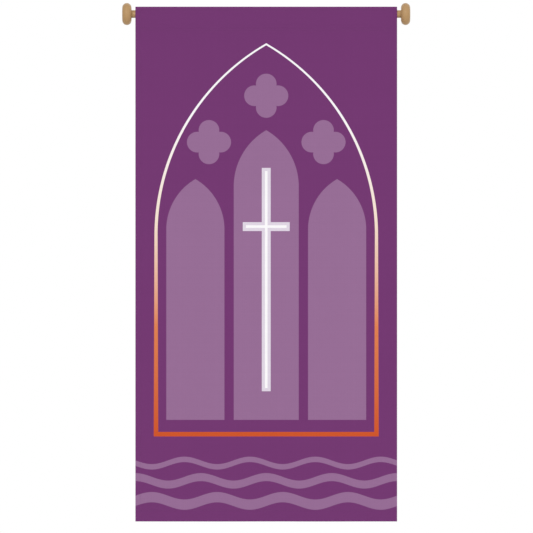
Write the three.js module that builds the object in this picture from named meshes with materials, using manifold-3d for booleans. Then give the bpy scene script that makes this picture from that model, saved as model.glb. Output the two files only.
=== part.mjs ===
// Church banner on a wooden rod. Millimetres, +Z up, the printed front faces -Y, +X is to the right seen from
// the front, and the origin is the middle of the rod, on its axis.
//
// The banner is one cut length of cloth. Its sides and its foot are turned over twice to the back and sewn, and
// its top is turned over to the back and sewn down in two rows, which leaves a sleeve between the rows. The rod
// lies in the sleeve behind the flat front, and a disc with a round rim is glued on each end of the rod.

import * as THREE from "three";
import { mergeVertices } from "three/addons/utils/BufferGeometryUtils.js";
import Module from "manifold-3d";

// Cloth
const CLOTH_WIDTH = 914;
const CLOTH_DROP = 1798;
const CLOTH_THICKNESS = 1.2;
const TOP_EDGE_ABOVE_AXIS = 25;
const TURNED_THICKNESS = 1.1; // what a turned hem adds behind the sheet
const SIDE_HEM = 20;
const FOOT_HEM = 40;
const HEM_SLOPE = 0.6; // width of the small step at a hem's inner edge

// Sleeve for the rod
const SLEEVE_MEETS_ROD = THREE.MathUtils.degToRad(112); // where its cloth comes to lie on the rod, 90 is the top
const SLEEVE_LEAVES_ROD = THREE.MathUtils.degToRad(-34.5); // where it leaves the rod behind and below
const SLEEVE_TURNING = 14; // length of the sewn edge under the sleeve

// Rod and its end discs
const ROD_DIAMETER = 27;
const ROD_SIDES = 48;
const NECK_LENGTH = 14; // bare rod between the cloth and a disc
const DISC_DIAMETER = 77;
const DISC_WIDTH = 32;
const SOCKET_DEPTH = 18;
const DISC_SIDES = 56;
const RIM_STEPS = 12;

const CLEARANCE = 0.3; // between pieces that touch

// Soft waves in the hanging cloth, a row for each: its wavelength across, its share of the sway, its phase in
// radians and how far the phase drifts from the top to the foot
const SWAY_AT_FOOT = 2.6;
const SWAY_STARTS_BELOW_AXIS = 90;
const SWAYS = [
  { wavelength: 430, share: 0.62, phase: 0.7, drift: 0.9 },
  { wavelength: 265, share: 0.38, phase: 2.4, drift: -1.6 },
];
const COLUMN_PITCH = 38;
const ROW_PITCH = 76;

const MERGE_DISTANCE = 0.001;

// Colours of the print's ground and of the wood
const CLOTH_COLOUR = 0x733a71;
const WOOD_COLOUR = 0xb8956a;

const rodRadius = ROD_DIAMETER / 2;
const boreRadius = rodRadius + CLEARANCE;
const sheetBack = -(boreRadius + TURNED_THICKNESS);
const sheetFront = sheetBack - CLOTH_THICKNESS;
const topEdge = TOP_EDGE_ABOVE_AXIS;
const footEdge = topEdge - CLOTH_DROP;
const halfWidth = CLOTH_WIDTH / 2;

const wasm = await Module();
wasm.setup();

/** How far the hanging cloth stands behind its flat place at x and z. */
function swayAt(x, z) {
  const start = -SWAY_STARTS_BELOW_AXIS;
  const share = THREE.MathUtils.clamp((start - z) / (start - footEdge), 0, 1);
  const wave = SWAYS.reduce(
    (sum, s) => sum + s.share * Math.sin((2 * Math.PI * x) / s.wavelength + s.phase + s.drift * share),
    0,
  );
  return SWAY_AT_FOOT * share * share * (3 - 2 * share) * wave;
}

/** Even steps from one number to another, both included, no longer than the pitch. */
function steps(from, to, pitch) {
  const count = Math.ceil(Math.abs(to - from) / pitch);
  return Array.from({ length: count + 1 }, (_, i) => from + ((to - from) * i) / count);
}

/** A closed mesh as a solid that can be joined. */
function solidOf(geometry) {
  const bare = new THREE.BufferGeometry();
  bare.setAttribute("position", geometry.getAttribute("position"));
  bare.setIndex(geometry.getIndex());
  const merged = mergeVertices(bare, MERGE_DISTANCE);
  return new wasm.Manifold(
    new wasm.Mesh({
      numProp: 3,
      vertProperties: merged.attributes.position.array,
      triVerts: new Uint32Array(merged.index.array),
    }),
  );
}

/** A solid as a geometry with flat faces. */
function geometryOf(solid) {
  const { numProp, numVert, vertProperties, triVerts } = solid.getMesh();
  const points = new Float32Array(numVert * 3);
  for (let i = 0; i < numVert; i++) {
    points.set(vertProperties.subarray(i * numProp, i * numProp + 3), i * 3);
  }
  const geometry = new THREE.BufferGeometry();
  geometry.setAttribute("position", new THREE.BufferAttribute(points, 3));
  geometry.setIndex(new THREE.BufferAttribute(triVerts, 1));
  geometry.computeVertexNormals();
  return geometry;
}

/** The hanging sheet with its side and foot hems: a box whose grid lines are moved to the cloth's own places. */
function sheetGeometry() {
  const inner = halfWidth - SIDE_HEM;
  const columns = [
    -halfWidth,
    -inner,
    ...steps(-inner + HEM_SLOPE, inner - HEM_SLOPE, COLUMN_PITCH),
    inner,
    halfWidth,
  ];
  const hemTop = footEdge + FOOT_HEM;
  const rows = [
    footEdge,
    hemTop,
    ...steps(hemTop + HEM_SLOPE, -SWAY_STARTS_BELOW_AXIS, ROW_PITCH),
    topEdge,
  ];
  const geometry = new THREE.BoxGeometry(1, 1, 1, columns.length - 1, 1, rows.length - 1);
  const places = geometry.getAttribute("position");
  for (let i = 0; i < places.count; i++) {
    const x = columns[Math.round((places.getX(i) + 0.5) * (columns.length - 1))];
    const z = rows[Math.round((places.getZ(i) + 0.5) * (rows.length - 1))];
    const turnings = Number(Math.abs(x) >= inner) + Number(z <= hemTop);
    const back = sheetBack + turnings * TURNED_THICKNESS;
    places.setXYZ(i, x, swayAt(x, z) + (places.getY(i) > 0 ? back : sheetFront), z);
  }
  return geometry;
}

/** The height at which a line that touches a circle round the axis, at the angle given, crosses an upright plane. */
function cornerHeight(plane, radius, angle) {
  return (radius - plane * Math.cos(angle)) / Math.sin(angle);
}

/** Draws the sleeve's cloth on a path, from its lower corner on the plane given, round the rod, to its upper one. */
function drawLoop(path, plane, radius) {
  path.lineTo(plane, cornerHeight(plane, radius, SLEEVE_LEAVES_ROD));
  path.absarc(0, 0, radius, SLEEVE_LEAVES_ROD, SLEEVE_MEETS_ROD);
  path.lineTo(plane, cornerHeight(plane, radius, SLEEVE_MEETS_ROD));
}

/** One length of the sleeve, from one x to another, round a bore of the radius given. */
function sleeveGeometry(fromX, toX, innerRadius) {
  const middle = (sheetFront + sheetBack) / 2;
  const outerPlane = sheetBack + CLOTH_THICKNESS;
  const outerRadius = boreRadius + TURNED_THICKNESS + CLOTH_THICKNESS;
  const turning = cornerHeight(outerPlane, outerRadius, SLEEVE_LEAVES_ROD) - SLEEVE_TURNING;

  const outline = new THREE.Shape();
  outline.moveTo(middle, turning);
  outline.lineTo(outerPlane, turning);
  drawLoop(outline, outerPlane, outerRadius);
  outline.lineTo(outerPlane, topEdge);
  outline.lineTo(middle, topEdge);

  const tunnel = new THREE.Path();
  tunnel.moveTo(-innerRadius, cornerHeight(-innerRadius, innerRadius, SLEEVE_MEETS_ROD));
  drawLoop(tunnel, -innerRadius, innerRadius);
  outline.holes.push(tunnel);

  const geometry = new THREE.ExtrudeGeometry(outline, {
    depth: toX - fromX,
    bevelEnabled: false,
    curveSegments: ROD_SIDES / 2,
  });
  const turned = new THREE.Matrix4().makeBasis(
    new THREE.Vector3(0, 1, 0),
    new THREE.Vector3(0, 0, 1),
    new THREE.Vector3(1, 0, 0),
  );
  return geometry.applyMatrix4(turned).translate(fromX, 0, 0);
}

/** The banner's cloth: the hemmed sheet and its sleeve, whose ends are thicker by the side hems inside them. */
function makeCloth() {
  const inner = halfWidth - SIDE_HEM;
  const hemmedBore = boreRadius;
  const plainBore = boreRadius + TURNED_THICKNESS;
  const joined = solidOf(sheetGeometry())
    .add(solidOf(sleeveGeometry(-inner, inner, plainBore)))
    .add(solidOf(sleeveGeometry(-halfWidth, -inner, hemmedBore)))
    .add(solidOf(sleeveGeometry(inner, halfWidth, hemmedBore)));
  const material = new THREE.MeshStandardMaterial({ color: CLOTH_COLOUR, roughness: 0.85, metalness: 0 });
  const cloth = new THREE.Mesh(geometryOf(joined), material);
  cloth.name = "banner_cloth";
  return cloth;
}

const wood = new THREE.MeshStandardMaterial({ color: WOOD_COLOUR, roughness: 0.55, metalness: 0 });

/** The round rod, which ends in the sockets of both discs. */
function makeRod() {
  const inSocket = SOCKET_DEPTH - CLEARANCE;
  const length = CLOTH_WIDTH + 2 * (NECK_LENGTH + inSocket);
  const geometry = new THREE.CylinderGeometry(rodRadius, rodRadius, length, ROD_SIDES);
  const rod = new THREE.Mesh(geometry.rotateZ(Math.PI / 2), wood);
  rod.name = "rod";
  return rod;
}

/** An end disc with a half-round rim, its inner face at the origin and its axis along +X. */
function makeEndDisc(name) {
  const rim = DISC_WIDTH / 2;
  const rimCentre = DISC_DIAMETER / 2 - rim;
  const profile = [new THREE.Vector2(0, SOCKET_DEPTH), new THREE.Vector2(boreRadius, SOCKET_DEPTH)];
  profile.push(new THREE.Vector2(boreRadius, 0));
  for (let i = 0; i <= RIM_STEPS; i++) {
    const angle = (Math.PI * i) / RIM_STEPS - Math.PI / 2;
    profile.push(new THREE.Vector2(rimCentre + rim * Math.cos(angle), rim + rim * Math.sin(angle)));
  }
  profile.push(new THREE.Vector2(0, DISC_WIDTH));
  const geometry = new THREE.LatheGeometry(profile, DISC_SIDES).rotateZ(-Math.PI / 2);
  const disc = new THREE.Mesh(geometry, wood);
  disc.name = name;
  return disc;
}

const banner = new THREE.Group();
banner.add(makeCloth(), makeRod());

const discPlace = halfWidth + NECK_LENGTH;
const rightDisc = makeEndDisc("end_disc_right");
rightDisc.position.x = discPlace;
const leftDisc = makeEndDisc("end_disc_left");
leftDisc.position.x = -discPlace;
leftDisc.rotation.z = Math.PI;
banner.add(rightDisc, leftDisc);

export default banner;
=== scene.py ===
"""Dresses a printed church banner and the wooden rod that it hangs from.

Metres, +Z up. The printed front faces -Y, and the origin is the middle of the rod, on its axis. The cloth is
one cut length, folded as a maker folds it: its sides are turned in twice and its foot is turned up twice, and
its top is turned down over the rod.
"""

from __future__ import annotations

import logging
import math
from collections.abc import Sequence
from dataclasses import dataclass, field
from enum import Enum
from functools import reduce

import bpy
import numpy as np
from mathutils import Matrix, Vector

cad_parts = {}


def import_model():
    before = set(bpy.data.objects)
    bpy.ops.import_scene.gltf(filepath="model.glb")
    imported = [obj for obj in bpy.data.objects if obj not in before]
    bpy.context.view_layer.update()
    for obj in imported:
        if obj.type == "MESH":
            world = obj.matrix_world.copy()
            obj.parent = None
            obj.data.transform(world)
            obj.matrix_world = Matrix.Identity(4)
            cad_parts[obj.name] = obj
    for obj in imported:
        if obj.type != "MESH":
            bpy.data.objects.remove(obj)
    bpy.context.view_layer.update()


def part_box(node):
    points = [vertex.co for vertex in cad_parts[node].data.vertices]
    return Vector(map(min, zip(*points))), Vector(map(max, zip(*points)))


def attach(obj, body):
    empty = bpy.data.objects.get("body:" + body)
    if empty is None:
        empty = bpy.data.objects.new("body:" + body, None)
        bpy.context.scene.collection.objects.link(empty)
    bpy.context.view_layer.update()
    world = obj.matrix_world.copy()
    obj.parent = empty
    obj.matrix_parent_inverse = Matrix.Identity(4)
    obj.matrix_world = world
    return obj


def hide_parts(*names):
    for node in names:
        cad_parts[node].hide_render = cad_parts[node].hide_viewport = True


BODY = "root"
CUT_MAP = "cut"  # the cloth's own map: metres across from its middle line, and metres up from its foot edge
SPACE = 3  # numbers in a point
QUAD = 4  # corners of a face
SCREEN_WHITE = 255  # the largest screen value
MILLIMETRES = 1000.0  # in a metre

# From a disc's middle to the line that its growth rings run round
RIGHT_HEART = Vector((-0.096, 0.018, 0.0))
LEFT_HEART = Vector((-0.117, -0.012, 0.0))

log = logging.getLogger("banner")


def linear_light(screen: float) -> float:
    """The linear light of a screen value from 0 to 1, by the sRGB standard's curve."""
    return screen / 12.92 if screen <= 0.04045 else ((screen + 0.055) / 1.055) ** 2.4


class Colour(Enum):
    """Colours as screen values of red, green and blue from 0 to 255.

    The dyes and woods are a little deeper than they look, since the surface's own gloss adds some white.
    """

    GROUND = (114, 53, 112)
    LILAC = (150, 108, 149)
    PALE_LILAC = (224, 214, 228)
    WHITE = (252, 250, 252)
    ORANGE = (206, 84, 38)
    AMBER = (223, 127, 79)
    CREAM = (246, 226, 208)
    THREAD = (104, 50, 102)
    UNDYED = (214, 206, 214)
    EARLY_WOOD = (198, 162, 114)
    LATE_WOOD = (162, 122, 76)
    FLOOR = (237, 237, 235)
    SKY = (255, 255, 255)

    @property
    def linear(self) -> tuple[float, ...]:
        """The colour as linear light, with full alpha."""
        return (*(linear_light(value / SCREEN_WHITE) for value in self.value), 1.0)


class Grain(Enum):
    """The axis that the grain of a wooden piece runs along."""

    ALONG_ROD = 0
    UPRIGHT = 2


class Facing(Enum):
    """The side that an end disc's outer face looks to, as its sign along the rod."""

    RIGHT = 1.0
    LEFT = -1.0


class Bulge(Enum):
    """Which end of its line a fold's outer side points to: up is to the right on the line across."""

    UP = 1.0
    DOWN = -1.0


class Term:
    """A number in a material's nodes, so that arithmetic on terms adds Math nodes."""

    def __init__(self, nodes: Nodes, socket: bpy.types.NodeSocket) -> None:
        """Holds the socket that gives the number."""
        self.nodes = nodes
        self.socket = socket

    def math(self, operation: str, *others: Term | float) -> Term:
        """The result of a Math node on this number and any others."""
        inputs = dict(enumerate((self, *others)))
        return Term(self.nodes, self.nodes.add("ShaderNodeMath", inputs, operation=operation))

    def __add__(self, other: Term | float) -> Term:
        """The sum."""
        return self.math("ADD", other)

    def __sub__(self, other: Term | float) -> Term:
        """The difference."""
        return self.math("SUBTRACT", other)

    def __mul__(self, other: Term | float) -> Term:
        """The product."""
        return self.math("MULTIPLY", other)

    def __neg__(self) -> Term:
        """The number with its sign turned round."""
        return self.math("MULTIPLY", -1.0)

    def __abs__(self) -> Term:
        """The number without its sign."""
        return self.math("ABSOLUTE")

    def at_least(self, other: Term | float) -> Term:
        """The larger of two numbers."""
        return self.math("MAXIMUM", other)

    def at_most(self, other: Term | float) -> Term:
        """The smaller of two numbers."""
        return self.math("MINIMUM", other)

    def share(self) -> Term:
        """The number kept between 0 and 1."""
        return self.at_least(0.0).at_most(1.0)

    def bell(self, width: float) -> Term:
        """1 where the number is 0, falling off over the width given."""
        return (-(self * self) * (1 / width**2)).math("EXPONENT")


# A colour or the socket of one, and all that a node's input can get
Paint = bpy.types.NodeSocket | Colour
NodeInput = Term | Colour | bpy.types.NodeSocket | float | tuple[float, ...]


def hypotenuse(a: Term, b: Term) -> Term:
    """The length of the vector (a, b)."""
    return (a * a + b * b).math("SQRT")


class Nodes:
    """A node tree, and how nodes are added to it."""

    def __init__(self, tree: bpy.types.NodeTree) -> None:
        """Holds the tree."""
        self.tree = tree

    def feed(self, node: bpy.types.Node, inputs: dict[str | int, NodeInput]) -> None:
        """Gives a node its inputs.

        Args:
            node: the node.
            inputs: a term or socket to link, or a colour or number to set, by the input's name or place.
        """
        for key, value in inputs.items():
            place = node.inputs[key]
            if isinstance(value, Term):
                self.tree.links.new(value.socket, place)
            elif isinstance(value, bpy.types.NodeSocket):
                self.tree.links.new(value, place)
            elif isinstance(value, Colour):
                place.default_value = value.linear[: len(place.default_value)]
            else:
                place.default_value = value

    def add(
        self,
        kind: str,
        inputs: dict[str | int, NodeInput] | None = None,
        output: str | int = 0,
        **modes: str,
    ) -> bpy.types.NodeSocket:
        """Adds a node.

        Args:
            kind: the node's type.
            inputs: what its inputs get, as for feed.
            output: which of its outputs is wanted.
            modes: the node's own settings, which come first since they decide what inputs there are.

        Returns:
            The output's socket.
        """
        node = self.tree.nodes.new(kind)
        for key, value in modes.items():
            setattr(node, key, value)
        self.feed(node, inputs or {})
        return node.outputs[output]


class Finish(Nodes):
    """A material with one Principled shader, and what its methods add before it."""

    def __init__(self, name: str, **values: float) -> None:
        """Makes the material and sets the shader's constant inputs.

        Args:
            name: the material's name.
            values: the shader's inputs, with _ for each space.
        """
        self.material = bpy.data.materials.new(name)
        self.material.use_nodes = True
        super().__init__(self.material.node_tree)
        self.shader = self.tree.nodes["Principled BSDF"]
        self.feed(self.shader, {key.replace("_", " "): value for key, value in values.items()})

    def split(self, vector: bpy.types.NodeSocket) -> list[Term]:
        """A vector's three numbers."""
        node = self.add("ShaderNodeSeparateXYZ", {"Vector": vector}).node
        return [Term(self, output) for output in node.outputs]

    def join(self, *terms: Term | float) -> bpy.types.NodeSocket:
        """A vector of up to three numbers."""
        return self.add("ShaderNodeCombineXYZ", dict(enumerate(terms)))

    def cut_place(self) -> list[Term]:
        """Where a point lies on the flat cut cloth."""
        return self.split(self.add("ShaderNodeUVMap", uv_map=CUT_MAP))[:2]

    def object_place(self) -> list[Term]:
        """Where a point lies on the object."""
        return self.split(self.add("ShaderNodeTexCoord", output="Object"))

    def noise(self, at: bpy.types.NodeSocket, scale: float, detail: float) -> Term:
        """Smooth noise around 0, from about -0.5 to 0.5.

        Args:
            at: the place that it is read at.
            scale: bumps to a metre.
            detail: finer layers on top of the first.

        Returns:
            The noise.
        """
        inputs = {"Vector": at, "Scale": scale, "Detail": detail}
        return Term(self, self.add("ShaderNodeTexNoise", inputs)) - 0.5

    def each(self, number: Term) -> Term:
        """A chance value around 0, from -0.5 to 0.5, for each whole number."""
        whole = {"W": number.math("FLOOR")}
        return Term(self, self.add("ShaderNodeTexWhiteNoise", whole, "Value", noise_dimensions="1D")) - 0.5

    def mix(self, share: Term | float, first: Paint, second: Paint) -> bpy.types.NodeSocket:
        """A colour between two others, with the share given of the second."""
        inputs = {"Factor": share, "A": first, "B": second}
        return self.add("ShaderNodeMix", inputs, "Result", data_type="RGBA")

    def shade(self, colour: Paint, light: Term) -> bpy.types.NodeSocket:
        """A colour made lighter or darker by a number around 1."""
        return self.add("ShaderNodeVectorMath", {0: colour, "Scale": light}, operation="SCALE")

    def finish(
        self,
        colour: bpy.types.NodeSocket,
        height: Term,
        roughness: Term | None = None,
    ) -> bpy.types.Material:
        """Joins the colour, relief and roughness to the shader.

        Args:
            colour: the surface colour.
            height: the relief, in metres.
            roughness: the roughness where it isn't even.

        Returns:
            The material.
        """
        bump = self.add("ShaderNodeBump", {"Distance": 1.0, "Height": height})
        self.feed(self.shader, {"Normal": bump, "Base Color": colour})
        if roughness is not None:
            self.feed(self.shader, {"Roughness": roughness})
        return self.material


@dataclass(frozen=True)
class PointedOpening:
    """An opening with upright sides, a flat sill and a pointed head of two arcs."""

    middle: float
    half_width: float
    sill: float
    spring: float

    @property
    def radius(self) -> float:
        """The radius of the head's arcs, each of which starts from the other's centre."""
        return 2 * self.half_width

    @property
    def apex(self) -> float:
        """How high the point of its head is."""
        return self.spring + math.sqrt(self.radius**2 - self.half_width**2)

    def distance(self, u: Term, v: Term) -> Term:
        """How far a place is outside the opening, less than 0 inside."""
        away = hypotenuse(abs(u - self.middle) + self.half_width, (v - self.spring).at_least(0.0))
        return (away - self.radius).at_least(-(v - self.sill))


@dataclass(frozen=True)
class Quatrefoil:
    """Four round foils about a middle."""

    middle: tuple[float, float]
    foil_offset: float = 0.041
    foil_radius: float = 0.036
    heart_radius: float = 0.036

    def distance(self, u: Term, v: Term) -> Term:
        """How far a place is outside the foils, less than 0 inside.

        Args:
            u: metres across from the middle line.
            v: metres up from the foot edge.

        Returns:
            The distance, in metres.
        """
        across, up = abs(u - self.middle[0]), abs(v - self.middle[1])
        foils = hypotenuse(across.at_least(up) - self.foil_offset, across.at_most(up)) - self.foil_radius
        return foils.at_most(hypotenuse(across, up) - self.heart_radius)


@dataclass(frozen=True)
class LatinCross:
    """An upright cross of two bars."""

    low: float = 0.455
    high: float = 1.235
    arms_at: float = 1.03
    arm_reach: float = 0.082
    bar_width: float = 0.031
    core_width: float = 0.009

    def distance(self, u: Term, v: Term) -> Term:
        """How far a place is outside the bars, less than 0 inside.

        Args:
            u: metres across from the middle line.
            v: metres up from the foot edge.

        Returns:
            The distance, in metres.
        """
        half = self.bar_width / 2
        middle, reach = (self.low + self.high) / 2, (self.high - self.low) / 2
        upright = (abs(u) - half).at_least(abs(v - middle) - reach)
        arms = (abs(u) - self.arm_reach).at_least(abs(v - self.arms_at) - half)
        return upright.at_most(arms)


@dataclass(frozen=True)
class WaveBand:
    """A wavy band from one side of the cloth to the other."""

    height: float
    width: float
    phase: float
    swing: float = 0.013
    wavelength: float = 0.2285

    def distance(self, u: Term, v: Term) -> Term:
        """How far a place is outside the band, less than 0 inside."""
        wave = (u * (math.tau / self.wavelength) + self.phase).math("SINE") * self.swing
        return abs(v - self.height - wave) - self.width / 2


@dataclass(frozen=True)
class WindowPrint:
    """The print: a church window of plain pointed lights, a cross and three wavy bands."""

    frame: PointedOpening = PointedOpening(middle=0.0, half_width=0.385, sill=0.305, spring=1.0)
    frame_width_low: float = 0.016
    frame_width_high: float = 0.006
    lights: tuple[PointedOpening, ...] = (
        PointedOpening(middle=-0.2475, half_width=0.1015, sill=0.355, spring=1.02),
        PointedOpening(middle=0.0, half_width=0.1135, sill=0.355, spring=1.17),
        PointedOpening(middle=0.2475, half_width=0.1015, sill=0.355, spring=1.02),
    )
    foils: tuple[Quatrefoil, ...] = (
        Quatrefoil((-0.2, 1.325)),
        Quatrefoil((0.2, 1.325)),
        Quatrefoil((0.0, 1.487)),
    )
    cross: LatinCross = LatinCross()
    waves: tuple[WaveBand, ...] = (
        WaveBand(height=0.072, width=0.036, phase=0.0),
        WaveBand(height=0.142, width=0.028, phase=math.pi / 2),
        WaveBand(height=0.204, width=0.019, phase=math.pi),
    )
    glow_step: float = 0.375
    edge: float = 0.0005

    def ink(self, distance: Term) -> Term:
        """1 inside a shape and 0 outside, with the print's own edge between."""
        return (-(distance * (1 / self.edge)) + 0.5).share()

    def glow(self, finish: Finish, v: Term) -> bpy.types.NodeSocket:
        """The window frame's colour, from orange at the sill to white at the head.

        Args:
            finish: the material that is painted.
            v: metres up from the foot edge.

        Returns:
            The colour's socket.
        """
        steps = (v - self.frame.sill) * (1 / self.glow_step)
        colour: Paint = Colour.ORANGE
        for i, above in enumerate((Colour.AMBER, Colour.CREAM, Colour.WHITE)):
            colour = finish.mix((steps - i).share(), colour, above)
        return colour

    def colour(self, finish: Finish, u: Term, v: Term) -> bpy.types.NodeSocket:
        """Paints the whole print.

        Args:
            finish: the material that is painted.
            u: metres across from the middle line.
            v: metres up from the foot edge.

        Returns:
            The printed colour's socket.
        """
        shapes = (*self.lights, *self.foils, *self.waves)
        nearest = reduce(Term.at_most, [shape.distance(u, v) for shape in shapes])
        colour = finish.mix(self.ink(nearest), Colour.GROUND, Colour.LILAC)
        rise = ((v - self.frame.sill) * (1 / (self.frame.apex - self.frame.sill))).share()
        width = rise * (self.frame_width_high - self.frame_width_low) + self.frame_width_low
        line = abs(self.frame.distance(u, v)) - width * 0.5
        colour = finish.mix(self.ink(line), colour, self.glow(finish, v))
        bars = self.cross.distance(u, v)
        colour = finish.mix(self.ink(bars), colour, Colour.PALE_LILAC)
        core = bars + (self.cross.bar_width - self.cross.core_width) / 2
        return finish.mix(self.ink(core), colour, Colour.WHITE)


@dataclass(frozen=True)
class PlainWeave:
    """Plain weave of even yarns, one over and one under."""

    yarn_pitch: float = 0.00055
    relief: float = 0.00009
    mean_height: float = 0.72
    # how strongly painted shade darkens the hollows between yarns and lightens the yarn tops
    painted_gap_shade: float = 0.16
    yarn_variation: float = 0.035
    patch_variation: float = 0.03
    patch_scale: float = 7.0
    patch_detail: float = 4.0

    def height(self, u: Term, v: Term) -> Term:
        """The yarns' height, as each rises over one crossing and dips under the next.

        Args:
            u: metres across.
            v: metres up.

        Returns:
            The height, from 0 to 1.
        """
        # Each yarn is round across, and waves along itself in turn with its neighbours
        across, up = u * (1 / self.yarn_pitch), v * (1 / self.yarn_pitch)
        side, rise = across.math("FRACT") - 0.5, up.math("FRACT") - 0.5
        turn = ((across.math("FLOOR") + up.math("FLOOR")) * math.pi).math("COSINE")
        warp = -(side * side * 4.0) + 1.0 + turn * (rise * math.pi).math("COSINE")
        weft = -(rise * rise * 4.0) + 1.0 - turn * (side * math.pi).math("COSINE")
        return warp.at_least(weft) * 0.5

    def light(self, finish: Finish, u: Term, v: Term, height: Term) -> Term:
        """How much lighter or darker than its colour each spot of the weave is, with painted shade in the
        hollows between yarns.

        Args:
            finish: the material of the weave.
            u: metres across.
            v: metres up.
            height: the yarns' height.

        Returns:
            A number around 1.
        """
        yarns = finish.each(u * (1 / self.yarn_pitch)) + finish.each(v * (1 / self.yarn_pitch))
        patches = finish.noise(finish.join(u, v), self.patch_scale, self.patch_detail) * self.patch_variation
        # Painted shade: the weave is darker where it is low, in the hollows between yarns, and lighter on the
        # yarn tops
        yarn_gap_shade = (height - self.mean_height) * self.painted_gap_shade
        return yarns * self.yarn_variation + patches + 1.0 + yarn_gap_shade


@dataclass(frozen=True)
class Seams:
    """Where the rows of stitches run on the flat cut, in the numbers of its own map."""

    side: float
    side_hem_edge: float
    rows: tuple[float, ...]


@dataclass(frozen=True)
class Puckers:
    """How rows of stitches draw the cloth in beside them."""

    groove: float = 0.00014
    groove_width: float = 0.0009
    swell: float = 0.0005
    swell_width: float = 0.006
    swell_scale: float = 95.0
    swell_detail: float = 1.0
    hem_step: float = 0.00016
    hem_step_width: float = 0.0012

    def height(self, finish: Finish, u: Term, v: Term, seams: Seams) -> Term:
        """The relief of all seams.

        Args:
            finish: the material that gets the relief.
            u: metres across from the middle line.
            v: metres up from the foot edge.
            seams: where the rows of stitches run.

        Returns:
            The height, in metres.
        """
        chance = finish.noise(finish.join(u, v), self.swell_scale, self.swell_detail)
        near = [abs(u) - seams.side] + [v - row for row in seams.rows]
        total = (-(abs(u) - seams.side_hem_edge) * (1 / self.hem_step_width) + 0.5).share() * -self.hem_step
        for distance in near:
            total = total - distance.bell(self.groove_width) * self.groove
            total = total + distance.bell(self.swell_width) * chance * self.swell
        return total


@dataclass(frozen=True)
class PrintedCloth:
    """The two sides of the cloth: the printed face, and the reverse, where the dye comes through paler."""

    drawing: WindowPrint = WindowPrint()
    weave: PlainWeave = PlainWeave()
    puckers: Puckers = Puckers()
    dye_lost: float = 0.2
    roughness: float = 0.82

    def face(self, seams: Seams) -> bpy.types.Material:
        """The printed face's material."""
        return self.side("printed_face", seams, 0.0)

    def reverse(self, seams: Seams) -> bpy.types.Material:
        """The reverse side's material."""
        return self.side("cloth_reverse", seams, self.dye_lost)

    def side(self, name: str, seams: Seams, dye_lost: float) -> bpy.types.Material:
        """One side's material.

        Args:
            name: the material's name.
            seams: where the rows of stitches run.
            dye_lost: the share of undyed cloth that shows.

        Returns:
            The material.
        """
        finish = Finish(
            name,
            Roughness=self.roughness,
            Specular_IOR_Level=0.16,
            Sheen_Weight=0.05,
            Sheen_Roughness=0.45,
        )
        u, v = finish.cut_place()
        yarns = self.weave.height(u, v)
        colour = self.drawing.colour(finish, u, v)
        if dye_lost:
            colour = finish.mix(dye_lost, colour, Colour.UNDYED)
        # The weave's tone: yarns and patches that differ at random, with painted shade in the hollows between
        # yarns
        light = self.weave.light(finish, u, v, yarns)
        height = yarns * self.weave.relief + self.puckers.height(finish, u, v, seams)
        return finish.finish(finish.shade(colour, light), height)


@dataclass(frozen=True)
class SewingThread:
    """Spun polyester thread, a little darker than the print's ground."""

    twist_pitch: float = 0.0007
    twist_depth: float = 0.00002

    def material(self) -> bpy.types.Material:
        """Makes the finish.

        Returns:
            The material.
        """
        finish = Finish("sewing_thread", Roughness=0.5, Specular_IOR_Level=0.4, Sheen_Weight=0.15)
        x, y, z = finish.object_place()
        twist = ((x + y + z) * (math.tau / self.twist_pitch)).math("SINE")
        # Painted shade: the same wave as the twist's relief makes the thread darker in its grooves and
        # lighter on its ridges
        colour = finish.mix((twist * 0.5 + 0.5).share(), Colour.THREAD, Colour.GROUND)
        return finish.finish(colour, twist * self.twist_depth)


@dataclass(frozen=True)
class Streaks:
    """Noise that is drawn out along the grain, the more so the smaller its stretch is."""

    scale: float
    stretch: float
    detail: float

    def at(self, finish: Finish, across: list[Term], along: Term) -> Term:
        """The noise at a place, from about -0.5 to 0.5."""
        return finish.noise(finish.join(*across, along * self.stretch), self.scale, self.detail)


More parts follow.
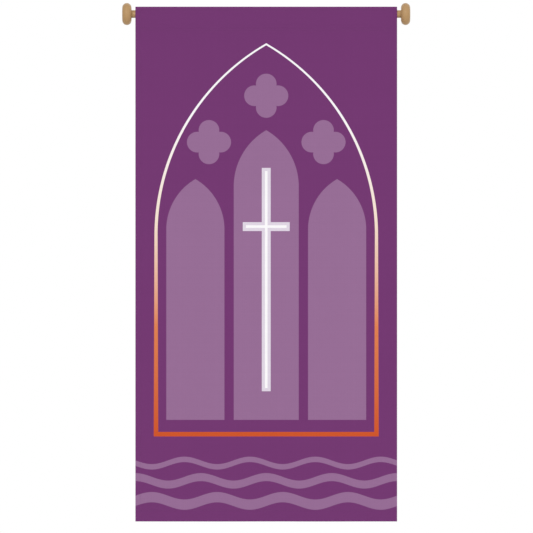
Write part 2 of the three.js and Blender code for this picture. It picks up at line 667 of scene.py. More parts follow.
@dataclass(frozen=True)
class TurnedWood:
    """Pale hardwood with a clear satin varnish."""

    ring_pitch: float = 0.0023
    ring_variation: float = 0.08
    late_share: float = 0.608
    late_end: float = 9.0  # how sharply a ring's late wood ends
    wander: Streaks = Streaks(scale=22.0, stretch=0.045, detail=3.0)
    wander_reach: float = 0.007
    fibres: Streaks = Streaks(scale=1500.0, stretch=0.02, detail=3.0)
    fibre_share: float = 0.6
    fibre_depth: float = 0.00003
    flecks: Streaks = Streaks(scale=900.0, stretch=0.06, detail=1.0)
    fleck_shade: float = 0.22
    fleck_contrast: float = 9.0
    fleck_level: float = 1.6
    fleck_depth: float = 0.00002
    tool_mark_pitch: float = 0.0012
    tool_mark_depth: float = 0.000004
    tone: float = 0.32
    roughness: float = 0.42
    roughness_variation: float = 0.25

    def material(self, name: str, grain: Grain, heart: Vector) -> bpy.types.Material:
        """The finish of one piece.

        Args:
            name: the material's name.
            grain: the axis that the grain runs along.
            heart: a point on the line that the rings run round.

        Returns:
            The material.
        """
        finish = Finish(name, Specular_IOR_Level=0.3, Coat_Weight=0.12, Coat_Roughness=0.35)
        place = finish.object_place()
        offset = [place[i] - heart[i] for i in range(SPACE)]
        along = offset[grain.value]
        across = [term for i, term in enumerate(offset) if i != grain.value]

        # Late wood darkens a ring more and more towards its outer edge, where it ends sharply
        wander = self.wander.at(finish, across, along) * self.wander_reach
        rings = (hypotenuse(*across) + wander) * (1 / self.ring_pitch)
        grown = rings.math("FRACT")
        late = grown * grown * grown * ((-grown + 1.0) * self.late_end).share()
        fibres = self.fibres.at(finish, across, along)
        flecks = (self.flecks.at(finish, across, along) * self.fleck_contrast - self.fleck_level).share()

        tone = late * self.late_share + finish.each(rings) * self.ring_variation
        tone = tone + fibres * self.fibre_share + self.tone
        colour = finish.mix(tone.share(), Colour.EARLY_WOOD, Colour.LATE_WOOD)
        colour = finish.shade(colour, -(flecks * self.fleck_shade) + 1.0)
        marks = (hypotenuse(place[1], place[2]) * (math.tau / self.tool_mark_pitch)).math("SINE")
        height = fibres * self.fibre_depth - flecks * self.fleck_depth + marks * self.tool_mark_depth
        return finish.finish(colour, height, fibres * self.roughness_variation + self.roughness)


@dataclass(frozen=True)
class Ripple:
    """One wave across the cloth, whose phase drifts as it falls."""

    length: float
    share: float
    phase: float
    drift: float = 0.0

    def at(self, x: np.ndarray, fallen: np.ndarray | float = 0.0) -> np.ndarray:
        """The wave's height at x, after the share of the cloth's drop that is given."""
        return self.share * np.sin(math.tau * x / self.length + self.phase + self.drift * fallen)


@dataclass
class Fold:
    """A line of cloth seen from its edge, as points of how far behind the front and how far along it lies."""

    points: list[tuple[float, float]] = field(default_factory=list)
    marks: dict[str, int] = field(default_factory=dict)

    def start(self, off: float, along: float) -> Fold:
        """Begins the line at its raw edge."""
        self.points.append((off, along))
        return self

    def straight(self, off: float, along: float, count: int = 1, mark: str = "") -> Fold:
        """Goes straight on.

        Args:
            off: the end's place behind the front layer.
            along: the end's place along it.
            count: how many points that adds.
            mark: a name for the end.

        Returns:
            The line itself.
        """
        first = np.array(self.points[-1])
        last = np.array((off, along))
        self.points += [tuple(first + (last - first) * (i + 1) / count) for i in range(count)]
        return self.name(mark)

    def turn(self, off: float, bulge: Bulge, count: int, mark: str = "") -> Fold:
        """Folds over to the layer at off in a half circle.

        Args:
            off: the next layer's place.
            bulge: where the fold's outer side points.
            count: how many points that adds.
            mark: a name for the end.

        Returns:
            The line itself.
        """
        here, along = self.points[-1]
        radius = (off - here) / 2
        height = abs(radius) * bulge.value
        for i in range(1, count + 1):
            angle = math.pi * i / count
            self.points.append((here + radius * (1 - math.cos(angle)), along + height * math.sin(angle)))
        return self.name(mark)

    def arc(self, radius: float, first: float, last: float, count: int, mark: str = "") -> Fold:
        """Goes round the rod's axis from one angle to another, in radians.

        Args:
            radius: how far from the axis the line runs.
            first: the angle of the line's end so far, which is on the circle.
            last: the angle of the new end.
            count: how many points that adds.
            mark: a name for the end.

        Returns:
            The line itself.
        """
        for i in range(1, count + 1):
            angle = first + (last - first) * i / count
            self.points.append((radius * math.cos(angle), radius * math.sin(angle)))
        return self.name(mark)

    def name(self, mark: str) -> Fold:
        """Gives the line's last point a name.

        Args:
            mark: the name, or nothing to leave it without one.

        Returns:
            The line itself.
        """
        if mark:
            self.marks[mark] = len(self.points) - 1
        return self

    def rows(self) -> list[int]:
        """The numbers of the points where a row of stitches crosses the line."""
        return [index for name, index in self.marks.items() if "row" in name]

    def lengths(self) -> np.ndarray:
        """How much cloth lies between the line's start and each of its points."""
        steps = np.linalg.norm(np.diff(np.array(self.points), axis=0), axis=1)
        return np.concatenate(([0.0], np.cumsum(steps)))

    def off_side(self) -> np.ndarray:
        """Finds the side that the cloth's reverse is on.

        Returns:
            The direction to it at each point.
        """
        along = np.gradient(np.array(self.points), axis=0)
        along /= np.linalg.norm(along, axis=1, keepdims=True)
        return np.stack((along[:, 1], -along[:, 0]), axis=1)


def smooth_share(value: np.ndarray, low: float, high: float) -> np.ndarray:
    """0 below low, 1 above high and a soft curve between."""
    share = np.clip((value - low) / (high - low), 0.0, 1.0)
    return share * share * (3 - 2 * share)


def place_object(name: str, data: bpy.types.ID) -> bpy.types.Object:
    """Puts a new object in the scene, at the origin.

    Args:
        name: its name.
        data: its mesh, light or camera.

    Returns:
        The object.
    """
    thing = bpy.data.objects.new(name, data)
    bpy.context.scene.collection.objects.link(thing)
    return thing


def new_piece(
    name: str,
    points: np.ndarray,
    faces: Sequence[tuple[int, ...]] = (),
    edges: Sequence[tuple[int, int]] = (),
    smooth: bool = True,
) -> bpy.types.Object:
    """Makes a mesh object at the origin.

    Args:
        name: the piece's name.
        points: its points.
        faces: the point numbers of each face.
        edges: the point numbers of each edge that has no face.
        smooth: whether it is shaded smooth.

    Returns:
        The object.
    """
    mesh = bpy.data.meshes.new(name)
    mesh.from_pydata(points.tolist(), edges, faces)
    mesh.polygons.foreach_set("use_smooth", [smooth] * len(mesh.polygons))
    return place_object(name, mesh)


@dataclass
class BannerCloth:
    """The banner's cloth: one cut length, with its hems, its sleeve and the rows of stitches."""

    low: Vector
    high: Vector
    rod_radius: float
    thickness: float = 0.0003
    layer_pitch: float = 0.00038
    front_off_rod: float = 0.0026
    side_hem: float = 0.020
    side_turning: float = 0.008
    foot_hem: float = 0.040
    foot_turning: float = 0.010
    stitch_inset: float = 0.002
    stitch_lift: float = 0.00004

    # The sleeve, with its heights above the rod's axis
    sleeve_corner_high: float = 0.0098  # where the turned-down cloth leaves the heading for the rod
    sleeve_corner_low: float = -0.048  # where it comes back to the front layer
    sleeve_edge: float = -0.0624
    sleeve_turning: float = 0.010
    head_row: float = 0.0125
    low_rows: tuple[float, float] = (-0.050, -0.0595)
    rod_gap: float = 0.0003
    bulk_width: float = 0.012  # over which the layers close up beside a side hem

    # How finely the cloth is divided
    column_pitch: float = 0.0095
    row_pitch: float = 0.0115
    edge_steps: int = 8
    inner_edge_steps: int = 5
    turning_steps: int = 2
    side_hem_steps: int = 3
    hem_steps: int = 5
    head_steps: int = 6
    top_steps: int = 2
    sleeve_top_steps: int = 3
    rod_steps: int = 30
    slack_steps: int = 9
    row_gap_steps: int = 2

    # How it hangs
    sway_at_foot: float = 0.0026
    sway_start: float = -0.090
    sway_ripples: tuple[Ripple, ...] = (
        Ripple(length=0.430, share=0.62, phase=0.7, drift=0.9),
        Ripple(length=0.265, share=0.38, phase=2.4, drift=-1.6),
    )
    head_sway: float = 0.0006
    head_ripples: tuple[Ripple, ...] = (
        Ripple(length=0.310, share=0.6, phase=0.4),
        Ripple(length=0.117, share=0.4, phase=1.9),
    )
    sleeve_slack: float = 0.0017
    slack_ripples: tuple[Ripple, ...] = (
        Ripple(length=0.163, share=0.55, phase=1.1),
        Ripple(length=0.071, share=0.3, phase=2.6),
        Ripple(length=0.033, share=0.15, phase=0.2),
    )

    # From which mark to which the side hems' stitches run, on the outer layer and on the hem's own
    side_runs: tuple[tuple[str, str], ...] = (
        ("foot_row_back", "foot_fold_back"),
        ("foot_fold_front", "top_fold_front"),
        ("top_fold_back", "low_row_back_1"),
    )
    hem_runs: tuple[tuple[str, str], ...] = (("foot_row_front", "low_row_front_1"),)

    @property
    def front(self) -> float:
        """Where the front layer's middle lies."""
        return -self.rod_radius - self.front_off_rod + self.thickness / 2

    @property
    def half_width(self) -> float:
        """Half the finished width."""
        return (self.high.x - self.low.x) / 2

    def sway(self, x: np.ndarray, z: np.ndarray) -> np.ndarray:
        """How far the hanging cloth stands behind its flat place.

        Args:
            x: where it is across.
            z: how high it is.

        Returns:
            The distance at each place.
        """
        fallen = np.clip((self.sway_start - z) / (self.sway_start - self.low.z), 0.0, 1.0)
        foot_wave = sum(ripple.at(x, fallen) for ripple in self.sway_ripples)
        above = np.clip((z - self.head_row) / (self.high.z - self.head_row), 0.0, 1.0)
        head_wave = sum(ripple.at(x) for ripple in self.head_ripples)
        foot_share = smooth_share(fallen, 0.0, 1.0)
        return self.sway_at_foot * foot_share * foot_wave + self.head_sway * above**2 * head_wave

    def slack(self, x: np.ndarray, up: Fold) -> np.ndarray:
        """How far the sleeve's loose cloth, under the rod, stands off its straight line.

        Args:
            x: the places across.
            up: the line up.

        Returns:
            The distance for each place across and each point of the line.
        """
        lengths = up.lengths()
        first, last = up.marks["leaves_rod"], up.marks["sleeve_corner"]
        share = np.clip((lengths - lengths[first]) / (lengths[last] - lengths[first]), 0.0, 1.0)
        loose = 0.5 + 0.5 * sum(ripple.at(x) for ripple in self.slack_ripples)
        return self.sleeve_slack * np.sin(math.pi * share) ** 2 * loose[:, None]

    def across(self) -> Fold:
        """Turns both side hems in twice.

        Returns:
            The cloth's line from side to side.
        """
        pitch = self.layer_pitch
        edge, inner = self.half_width - self.thickness / 2, self.half_width - self.side_hem
        row = inner + self.stitch_inset
        raw = inner + self.side_turning
        panel = round(2 * row / self.column_pitch)
        line = Fold().start(pitch, -raw).straight(pitch, -inner - pitch / 2, self.turning_steps)
        line.turn(2 * pitch, Bulge.UP, self.inner_edge_steps)
        line.straight(2 * pitch, -row, mark="left_hem_row")
        line.straight(2 * pitch, pitch - edge, self.side_hem_steps)
        line.turn(0.0, Bulge.DOWN, self.edge_steps, mark="left_end")
        line.straight(0.0, -row, self.side_hem_steps, mark="left_row")
        line.straight(0.0, row, panel, mark="right_row")
        line.straight(0.0, edge - pitch, self.side_hem_steps, mark="right_end")
        line.turn(2 * pitch, Bulge.UP, self.edge_steps)
        line.straight(2 * pitch, row, self.side_hem_steps, mark="right_hem_row")
        line.straight(2 * pitch, inner + pitch / 2).turn(pitch, Bulge.DOWN, self.inner_edge_steps)
        return line.straight(pitch, raw, self.turning_steps)

    def upright(self, bulk: float) -> Fold:
        """The cloth's line from its foot to its sleeve.

        Args:
            bulk: 1 where the side hems lie between the layers, 0 where they don't.

        Returns:
            The line, with the same number of points whatever the bulk.
        """
        pitch, front, foot, top = self.layer_pitch, self.front, self.low.z, self.high.z
        hem = 2 * bulk  # the layers that a side hem adds to each layer of the cloth
        inside, head = front + pitch * (1 + hem), front + pitch * (1 + 2 * hem)
        outside = front + pitch * (2 + 3 * hem)
        foot_row = foot + self.foot_hem - self.stitch_inset
        fold = (outside - inside) / 2
        low_fold, high_fold = (outside - front) / 2, (head - front) / 2
        edge = self.thickness / 2
        panel = round((self.low_rows[1] - foot_row) / self.row_pitch)

        line = Fold().start(inside, foot + self.foot_hem - self.foot_turning)
        line.straight(inside, foot + self.foot_hem - fold, self.turning_steps)
        line.turn(outside, Bulge.UP, self.inner_edge_steps)
        line.straight(outside, foot_row, mark="foot_row_back")
        line.straight(outside, foot + low_fold + edge, self.hem_steps, mark="foot_fold_back")
        line.turn(front, Bulge.DOWN, self.edge_steps, mark="foot_fold_front")
        line.straight(front, foot_row, self.hem_steps, mark="foot_row_front")
        line.straight(front, self.low_rows[1], panel, mark="low_row_front_1")
        line.straight(front, self.low_rows[0], mark="low_row_front_0")
        line.straight(front, self.head_row, self.head_steps, mark="head_row_front")
        line.straight(front, top - high_fold - edge, self.top_steps, mark="top_fold_front")
        line.turn(head, Bulge.UP, self.edge_steps, mark="top_fold_back")
        line.straight(head, self.head_row, self.top_steps, mark="head_row_back")
        line.straight(head, self.sleeve_corner_high)

        radius = self.rod_radius + self.rod_gap + self.thickness / 2 + pitch * hem
        first = self.touch_angle(head, self.sleeve_corner_high, radius)
        last = self.touch_angle(outside, self.sleeve_corner_low, radius)
        line.straight(radius * math.cos(first), radius * math.sin(first), self.sleeve_top_steps)
        line.arc(radius, first, last, self.rod_steps, mark="leaves_rod")
        line.straight(outside, self.sleeve_corner_low, self.slack_steps, mark="sleeve_corner")
        line.straight(outside, self.low_rows[0], mark="low_row_back_0")
        line.straight(outside, self.low_rows[1], self.row_gap_steps, mark="low_row_back_1")
        line.straight(outside, self.sleeve_edge + fold).turn(inside, Bulge.DOWN, self.inner_edge_steps)
        return line.straight(inside, self.sleeve_edge + self.sleeve_turning, self.turning_steps)

    def touch_angle(self, off: float, height: float, radius: float) -> float:
        """Where a line from one of the sleeve's corners touches a circle round the rod's axis.

        Args:
            off: the corner's place behind the rod's axis.
            height: its height above that.
            radius: the circle's radius.

        Returns:
            The angle, in radians.
        """
        turn = math.acos(radius / math.hypot(off, height))
        corner = math.atan2(height, off)
        return corner - turn if height > 0 else corner + turn

    def layout(self) -> tuple[Fold, Fold, np.ndarray, np.ndarray]:
        """Folds the flat cut.

        Returns:
            The line across, the line up, the cloth's middle surface as a grid of points, and its map.
        """
        across, plain, bulky = self.across(), self.upright(0.0), self.upright(1.0)
        # The line up goes through every point of the line across, thicker where the side hems are
        off, x = np.array(across.points).T
        inner = self.half_width - self.side_hem
        bulk = smooth_share(np.abs(x), inner - self.bulk_width, inner)[:, None, None]
        line = np.array(plain.points) * (1 - bulk) + np.array(bulky.points) * bulk
        side = plain.off_side() * (1 - bulk) + bulky.off_side() * bulk
        side /= np.linalg.norm(side, axis=2, keepdims=True)
        yz = line + side * (off[:, None] - self.slack(x, plain))[:, :, None]
        grid = np.empty((len(x), len(plain.points), SPACE))
        grid[:, :, 0] = x[:, None]
        grid[:, :, 2] = yz[:, :, 1]
        grid[:, :, 1] = yz[:, :, 0] + self.sway(grid[:, :, 0], grid[:, :, 2])

        # The map is how much cloth there is, from the middle line across and from the foot edge up
        u, v = across.lengths(), plain.lengths()
        mark = plain.marks["foot_row_front"]
        u -= (u[0] + u[-1]) / 2
        v += plain.points[mark][1] - self.low.z - v[mark]
        cut = np.empty((len(u), len(v), 2))
        cut[:, :, 0] = u[:, None]
        cut[:, :, 1] = v[None, :]
        return across, plain, grid, cut

    def normals(self, grid: np.ndarray) -> np.ndarray:
        """The direction to the printed side at each point of the grid."""
        facing = np.cross(np.gradient(grid, axis=0), np.gradient(grid, axis=1))
        return facing / np.linalg.norm(facing, axis=2, keepdims=True)

    def sheet(self, grid: np.ndarray, cut: np.ndarray, seams: Seams) -> bpy.types.Object:
        """The cloth as a closed thin shell with its map.

        Args:
            grid: the middle surface.
            cut: its map.
            seams: where its rows of stitches run.

        Returns:
            The piece, with the printed side in its first material slot and the reverse in its second.
        """
        columns, rows = grid.shape[:2]
        count = columns * rows
        half = self.normals(grid) * (self.thickness / 2)
        points = np.concatenate(((grid + half).reshape(-1, SPACE), (grid - half).reshape(-1, SPACE)))
        number = np.arange(count).reshape(columns, rows)
        a, b, c, d = number[:-1, :-1], number[1:, :-1], number[1:, 1:], number[:-1, 1:]
        printed = np.stack((a, b, c, d), axis=-1).reshape(-1, QUAD)
        reverse = printed[:, ::-1] + count
        border = np.concatenate((number[:, 0], number[-1, 1:], number[-2::-1, -1], number[0, -2:0:-1]))
        following = np.roll(border, -1)
        rim = np.stack((following, border, border + count, following + count), axis=-1)
        faces = [tuple(face) for face in np.concatenate((printed, reverse, rim)).tolist()]
        piece = new_piece("banner_sheet", points, faces)
        mesh = piece.data
        slots = [0] * len(printed) + [1] * len(reverse) + [0] * len(rim)
        places = np.tile(cut.reshape(-1, 2), (2, 1))
        corner = np.empty(len(mesh.loops), int)
        mesh.loops.foreach_get("vertex_index", corner)
        mesh.uv_layers.new(name=CUT_MAP).uv.foreach_set("vector", places[corner].astype(np.float32).ravel())
        finish = PrintedCloth()
        mesh.materials.append(finish.face(seams))
        mesh.materials.append(finish.reverse(seams))
        mesh.polygons.foreach_set("material_index", slots)
        return piece

    def seams(self, across: Fold, up: Fold, cut: np.ndarray) -> Seams:
        """Finds the rows of stitches on the flat cut.

        Args:
            across: the line across.
            up: the line up.
            cut: the map.

        Returns:
            Where the rows run.
        """
        rows = tuple(float(cut[0, index, 1]) for index in up.rows())
        side = float(cut[across.marks["right_row"], 0, 0])
        return Seams(side, side - self.stitch_inset, rows)

    def stitch_lines(self, across: Fold, up: Fold, grid: np.ndarray) -> list[np.ndarray]:
        """The lines that the stitches follow, just outside the printed side.

        Args:
            across: the line across.
            up: the line up.
            grid: the middle surface.

        Returns:
            One list of points for each line.
        """
        surface = grid + self.normals(grid) * (self.thickness / 2 + self.stitch_lift)
        left, right = across.marks["left_end"], across.marks["right_end"]
        lines = [surface[left : right + 1, index] for index in up.rows()]
        for column, runs in (("row", self.side_runs), ("hem_row", self.hem_runs)):
            for side in ("left", "right"):
                place = across.marks[f"{side}_{column}"]
                lines += [surface[place, up.marks[first] : up.marks[last] + 1] for first, last in runs]
        return lines

    def build(self) -> list[bpy.types.Object]:
        """Makes the cloth and its stitches.

        Returns:
            Both pieces.
        """
        across, up, grid, cut = self.layout()
        sheet = self.sheet(grid, cut, self.seams(across, up, cut))
        stitches = StitchRows().build("seam_stitches", self.stitch_lines(across, up, grid))
        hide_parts("banner_cloth")
        for piece in (sheet, stitches):
            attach(piece, BODY)
        return [sheet, stitches]


class GeometryTree(Nodes):
    """A Geometry Nodes tree with named inputs."""

    def __init__(self, name: str, **inputs: str) -> None:
        """Makes the tree.

        Args:
            name: the tree's name.
            inputs: the type of each named input, with _ for each space.
        """
        super().__init__(bpy.data.node_groups.new(name, "GeometryNodeTree"))
        for key, kind in inputs.items():
            label = key.replace("_", " ")
            self.tree.interface.new_socket(label, in_out="INPUT", socket_type="NodeSocket" + kind)
        self.tree.interface.new_socket("Result", in_out="OUTPUT", socket_type="NodeSocketGeometry")
        self.given = self.tree.nodes.new("NodeGroupInput").outputs

    def apply(self, piece: bpy.types.Object, result: bpy.types.NodeSocket, values: dict[str, object]) -> None:
        """Ends the tree and turns what it makes of a piece into the piece's own mesh.

        Args:
            piece: the object that the tree works on.
            result: the geometry that comes out.
            values: what the tree's inputs get, by name.
        """
        self.feed(self.tree.nodes.new("NodeGroupOutput"), {"Result": result})
        modifier = piece.modifiers.new(self.tree.name, "NODES")
        modifier.node_group = self.tree
        for socket in self.tree.interface.items_tree:
            if socket.name in values:
                modifier[socket.identifier] = values[socket.name]
        bpy.context.view_layer.update()
        seen = piece.evaluated_get(bpy.context.evaluated_depsgraph_get())
        mesh = bpy.data.meshes.new_from_object(seen)
        piece.modifiers.clear()
        piece.data = mesh


@dataclass
class StitchRows:
    """Rows of lock stitches along lines, made by Geometry Nodes."""

    pitch: float = 0.0032
    stitch_length: float = 0.0027
    thread_thickness: float = 0.00036
    slant: float = 0.09
    thread_sides: int = 6
    thread_rings: int = 4
    seed: int = 7

    def spots(self, nodes: GeometryTree) -> bpy.types.NodeSocket:
        """Puts a point at every pitch along each line, from half a stitch in.

        Args:
            nodes: the tree.

        Returns:
            The points, on curves.
        """
        given = nodes.given
        curves = nodes.add("GeometryNodeMeshToCurve", {"Mesh": given["Lines"]})
        inset = nodes.add("ShaderNodeMath", {0: given["Stitch Length"], 1: 2.0}, operation="DIVIDE")
        whole = nodes.add("GeometryNodeSplineLength")
        end = nodes.add("ShaderNodeMath", {0: whole, 1: inset}, operation="SUBTRACT")
        reach = {"Curve": curves, "Start": inset, "End": end}
        kept = nodes.add("GeometryNodeTrimCurve", reach, mode="LENGTH")
        spacing = {"Curve": kept, "Length": given["Pitch"]}
        return nodes.add("GeometryNodeResampleCurve", spacing, mode="LENGTH")

    def stitch(self, nodes: GeometryTree) -> bpy.types.NodeSocket:
        """Shapes one stitch as a long ball of thread.

        Args:
            nodes: the tree.

        Returns:
            The stitch, upright.
        """
        sides, rings = self.thread_sides, self.thread_rings
        ball = nodes.add("GeometryNodeMeshUVSphere", {"Segments": sides, "Rings": rings, "Radius": 0.5})
        thick, long = nodes.given["Thread Thickness"], nodes.given["Stitch Length"]
        size = nodes.add("ShaderNodeCombineXYZ", {"X": thick, "Y": thick, "Z": long})
        stitch = nodes.add("GeometryNodeTransform", {"Geometry": ball, "Scale": size})
        return nodes.add("GeometryNodeSetShadeSmooth", {"Geometry": stitch})

    def turns(self, nodes: GeometryTree) -> bpy.types.NodeSocket:
        """Lays each stitch along its line, a little aslant by chance.

        Args:
            nodes: the tree.

        Returns:
            The rotation at each point.
        """
        tangent = nodes.add("GeometryNodeInputTangent")
        ahead = nodes.add("FunctionNodeAlignRotationToVector", {"Vector": tangent}, axis="Z")
        limits = {"Min": (-1.0,) * SPACE, "Max": (1.0,) * SPACE, "Seed": self.seed}
        chance = nodes.add("FunctionNodeRandomValue", limits, data_type="FLOAT_VECTOR")
        slant = {"Vector": chance, "Scale": nodes.given["Slant"]}
        tilt = nodes.add("ShaderNodeVectorMath", slant, operation="SCALE")
        aslant = nodes.add("FunctionNodeEulerToRotation", {"Euler": tilt})
        both = {"Rotation": ahead, "Rotate By": aslant}
        return nodes.add("FunctionNodeRotateRotation", both, rotation_space="LOCAL")

    def sew(self, piece: bpy.types.Object) -> None:
        """Replaces a piece's edges by stitches along them.

        Args:
            piece: the object with the edges.
        """
        nodes = GeometryTree(
            "stitch_rows",
            Lines="Geometry",
            Pitch="Float",
            Stitch_Length="Float",
            Thread_Thickness="Float",
            Slant="Float",
            Thread="Material",
        )
        row = {"Points": self.spots(nodes), "Instance": self.stitch(nodes), "Rotation": self.turns(nodes)}
        rows = nodes.add("GeometryNodeInstanceOnPoints", row)
        real = nodes.add("GeometryNodeRealizeInstances", {"Geometry": rows})
        dress = {"Geometry": real, "Material": nodes.given["Thread"]}
        values = {
            "Pitch": self.pitch,
            "Stitch Length": self.stitch_length,
            "Thread Thickness": self.thread_thickness,
            "Slant": self.slant,
            "Thread": SewingThread().material(),
        }
        nodes.apply(piece, nodes.add("GeometryNodeSetMaterial", dress), values)

    def build(self, name: str, lines: list[np.ndarray]) -> bpy.types.Object:
        """Sews along lines.

        Args:
            name: the piece's name.
            lines: the points of each line.

        Returns:
            The stitches as one plain mesh.
        """
        edges: list[tuple[int, int]] = []
        first = 0
        for line in lines:
            edges += [(i, i + 1) for i in range(first, first + len(line) - 1)]
            first += len(line)
        piece = new_piece(name, np.concatenate(lines), edges=edges)
        self.sew(piece)
        return piece


def lathe(name: str, profile: list[tuple[float, float]], sides: int) -> bpy.types.Object:
    """Turns a profile round the rod's axis.

    Args:
        name: the piece's name.
        profile: (x, radius) points from one end on the axis to the other.
        sides: how many sides a turn has.

    Returns:
        The closed piece.
    """
    x, radius = np.array(profile[1:-1]).T
    angle = np.arange(sides) * (math.tau / sides)
    out, up = radius[:, None] * np.cos(angle), radius[:, None] * np.sin(angle)
    ring = np.stack(np.broadcast_arrays(x[:, None], out, up), axis=-1)
    poles = [(profile[0][0], 0.0, 0.0), (profile[-1][0], 0.0, 0.0)]
    points = np.concatenate((ring.reshape(-1, SPACE), poles))
    last = len(x) - 1
    start, end = len(points) - 2, len(points) - 1
    faces: list[tuple[int, ...]] = []
    for k in range(sides):
        after = (k + 1) % sides
        faces.append((start, after, k))
        faces.append((end, last * sides + k, last * sides + after))
        for row in range(0, last * sides, sides):
            faces.append((row + k, row + after, row + sides + after, row + sides + k))
    if profile[0][0] > profile[-1][0]:
        faces = [face[::-1] for face in faces]
    return new_piece(name, points, faces)


@dataclass
class RoundRod:
    """The wooden rod, with its ends softened where they enter the discs."""

    low: Vector
    high: Vector
    sides: int = 72
    rings: int = 40
    chamfer: float = 0.0008
    wood_tone: float = 0.1  # a little paler than the discs
    heart: Vector = field(default_factory=lambda: Vector((0.0, 0.031, -0.023)))

    @property
    def radius(self) -> float:
        """The rod's radius."""
        return (self.high.z - self.low.z) / 2

    def build(self) -> bpy.types.Object:
        """Makes the rod.

        Returns:
            The piece.
        """
        near, far, cut = self.low.x, self.high.x, self.chamfer
        profile = [(near, 0.0), (near, self.radius - cut)]
        profile += [(x, self.radius) for x in np.linspace(near + cut, far - cut, self.rings)]
        profile += [(far, self.radius - cut), (far, 0.0)]
        piece = lathe("round_rod", profile, self.sides)
        wood = TurnedWood(tone=self.wood_tone)
        piece.data.materials.append(wood.material("rod_wood", Grain.ALONG_ROD, self.heart))
        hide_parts("rod")
        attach(piece, BODY)
        return piece


@dataclass
class EndDisc:
    """A turned disc with a half-round rim and a blind socket for the rod.

    It is cut from a plank, so that its rings run round a line beside it, at an offset from its middle.
    """

    name: str
    node: str
    low: Vector
    high: Vector
    facing: Facing
    heart_offset: Vector
    socket_radius: float = 0.0136
    socket_depth: float = 0.018
    mouth: float = 0.0006
    sides: int = 96
    rim_steps: int = 28

    def build(self) -> bpy.types.Object:
        """Makes the disc.

        Returns:
            The piece.
        """
        width, radius = self.high.x - self.low.x, (self.high.z - self.low.z) / 2
        rim = width / 2
        inner = self.low.x if self.facing is Facing.RIGHT else self.high.x
        profile = [(self.socket_depth, 0.0), (self.socket_depth, self.socket_radius)]
        profile += [(self.mouth, self.socket_radius), (0.0, self.socket_radius + self.mouth)]
        for i in range(self.rim_steps + 1):
            angle = math.pi * i / self.rim_steps
            profile.append((rim - rim * math.cos(angle), radius - rim + rim * math.sin(angle)))
        profile.append((width, 0.0))
        piece = lathe(self.name, [(inner + self.facing.value * x, r) for x, r in profile], self.sides)
        heart = (self.low + self.high) / 2 + self.heart_offset
        piece.data.materials.append(TurnedWood().material(self.name + "_wood", Grain.UPRIGHT, heart))
        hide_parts(self.node)
        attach(piece, BODY)
        return piece


@dataclass(frozen=True)
class Sun:
    """A soft distant light, with its angles in degrees and its azimuth from the front to the right."""

    name: str
    azimuth: float
    elevation: float
    strength: float
    width: float

    def hang(self) -> None:
        """Adds the light to the scene."""
        data = bpy.data.lights.new(self.name, "SUN")
        data.energy = self.strength
        data.angle = math.radians(self.width)
        light = place_object(self.name, data)
        turn, rise = math.radians(self.azimuth), math.radians(self.elevation)
        towards = Vector((math.sin(turn) * math.cos(rise), -math.cos(turn) * math.cos(rise), math.sin(rise)))
        light.rotation_euler = towards.to_track_quat("Z", "Y").to_euler()


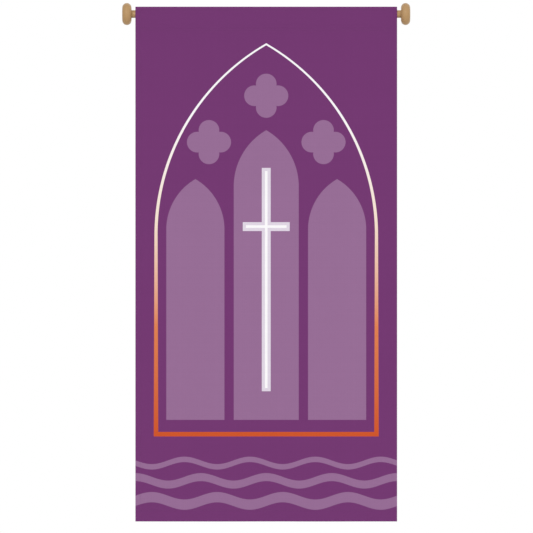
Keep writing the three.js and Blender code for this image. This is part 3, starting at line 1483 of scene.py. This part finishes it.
@dataclass
class Studio:
    """The camera at the photograph's angle, soft daylight and a pale floor under the hanging banner."""

    front: float
    foot: float
    lens: float = 400.0
    sensor: float = 36.0
    sight: float = 100.0  # how far the camera sees
    view_width: float = 1.8615  # what the frame takes in at the banner
    view_middle: tuple[float, float] = (0.0009, -0.8824)
    sky: float = 0.645
    floor_drop: float = 0.33
    floor_radius: float = 2.4
    floor_sides: int = 96
    speckle_scale: float = 60.0
    speckle_detail: float = 3.0
    speckle_shade: float = 0.02
    speckle_depth: float = 0.0002
    suns: tuple[Sun, ...] = (
        Sun("key_light", azimuth=-16.0, elevation=20.0, strength=0.92, width=50.0),
        Sun("fill_light", azimuth=46.0, elevation=10.0, strength=0.45, width=80.0),
        Sun("back_light", azimuth=165.0, elevation=8.0, strength=0.97, width=90.0),
    )

    def camera(self) -> None:
        """Stands a long lens level in front of the banner."""
        data = bpy.data.cameras.new("camera")
        data.lens = self.lens
        data.sensor_width = self.sensor
        data.clip_end = self.sight
        camera = place_object("camera", data)
        distance = self.view_width * self.lens / self.sensor
        camera.location = (self.view_middle[0], self.front - distance, self.view_middle[1])
        camera.rotation_euler = (math.pi / 2, 0.0, 0.0)
        bpy.context.scene.camera = camera

    def world(self) -> None:
        """Lights the scene evenly, and shows white behind it."""
        world = bpy.data.worlds.new("sky")
        world.use_nodes = True
        bpy.context.scene.world = world
        nodes = Nodes(world.node_tree)
        light = nodes.tree.nodes["Background"]
        nodes.feed(light, {"Color": Colour.SKY, "Strength": self.sky})
        seen = nodes.add("ShaderNodeBackground", {"Color": Colour.SKY})
        by_camera = nodes.add("ShaderNodeLightPath", output="Is Camera Ray")
        either = nodes.add("ShaderNodeMixShader", {0: by_camera, 1: light.outputs[0], 2: seen})
        nodes.feed(nodes.tree.nodes["World Output"], {"Surface": either})

    def floor(self) -> None:
        """Lays a round pale floor well under the banner."""
        height = self.foot - self.floor_drop
        angle = np.arange(self.floor_sides) * (math.tau / self.floor_sides)
        reach = self.floor_radius
        points = np.stack((reach * np.cos(angle), reach * np.sin(angle), np.full_like(angle, height)), axis=1)
        piece = new_piece("floor", points, [tuple(range(self.floor_sides))], smooth=False)
        finish = Finish("floor_paint", Roughness=0.7, Specular_IOR_Level=0.2)
        x, y, _ = finish.object_place()
        speckle = finish.noise(finish.join(x, y), self.speckle_scale, self.speckle_detail)
        colour = finish.shade(Colour.FLOOR, speckle * self.speckle_shade + 1.0)
        piece.data.materials.append(finish.finish(colour, speckle * self.speckle_depth))

    def build(self) -> None:
        """Sets up everything that isn't part of the object."""
        self.camera()
        for sun in self.suns:
            sun.hang()
        self.world()
        self.floor()
        bpy.context.scene.view_settings.view_transform = "Standard"


def report(piece: bpy.types.Object) -> None:
    """Logs a finished piece's name, size and faces."""
    size = [MILLIMETRES * value for value in piece.dimensions]
    log.info("%s: %.1f by %.1f by %.1f mm, %d faces", piece.name, *size, len(piece.data.polygons))


def main() -> None:
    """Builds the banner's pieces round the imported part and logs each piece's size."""
    logging.basicConfig(level=logging.INFO, format="%(name)s: %(message)s")
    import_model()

    rod = RoundRod(*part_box("rod"))
    right_box, left_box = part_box("end_disc_right"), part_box("end_disc_left")
    right_disc = EndDisc("turned_disc_right", "end_disc_right", *right_box, Facing.RIGHT, RIGHT_HEART)
    left_disc = EndDisc("turned_disc_left", "end_disc_left", *left_box, Facing.LEFT, LEFT_HEART)
    cloth = BannerCloth(*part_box("banner_cloth"), rod.radius)
    for piece in (rod.build(), right_disc.build(), left_disc.build(), *cloth.build()):
        report(piece)
    Studio(cloth.front, cloth.low.z).build()


if __name__ == "__main__":
    main()
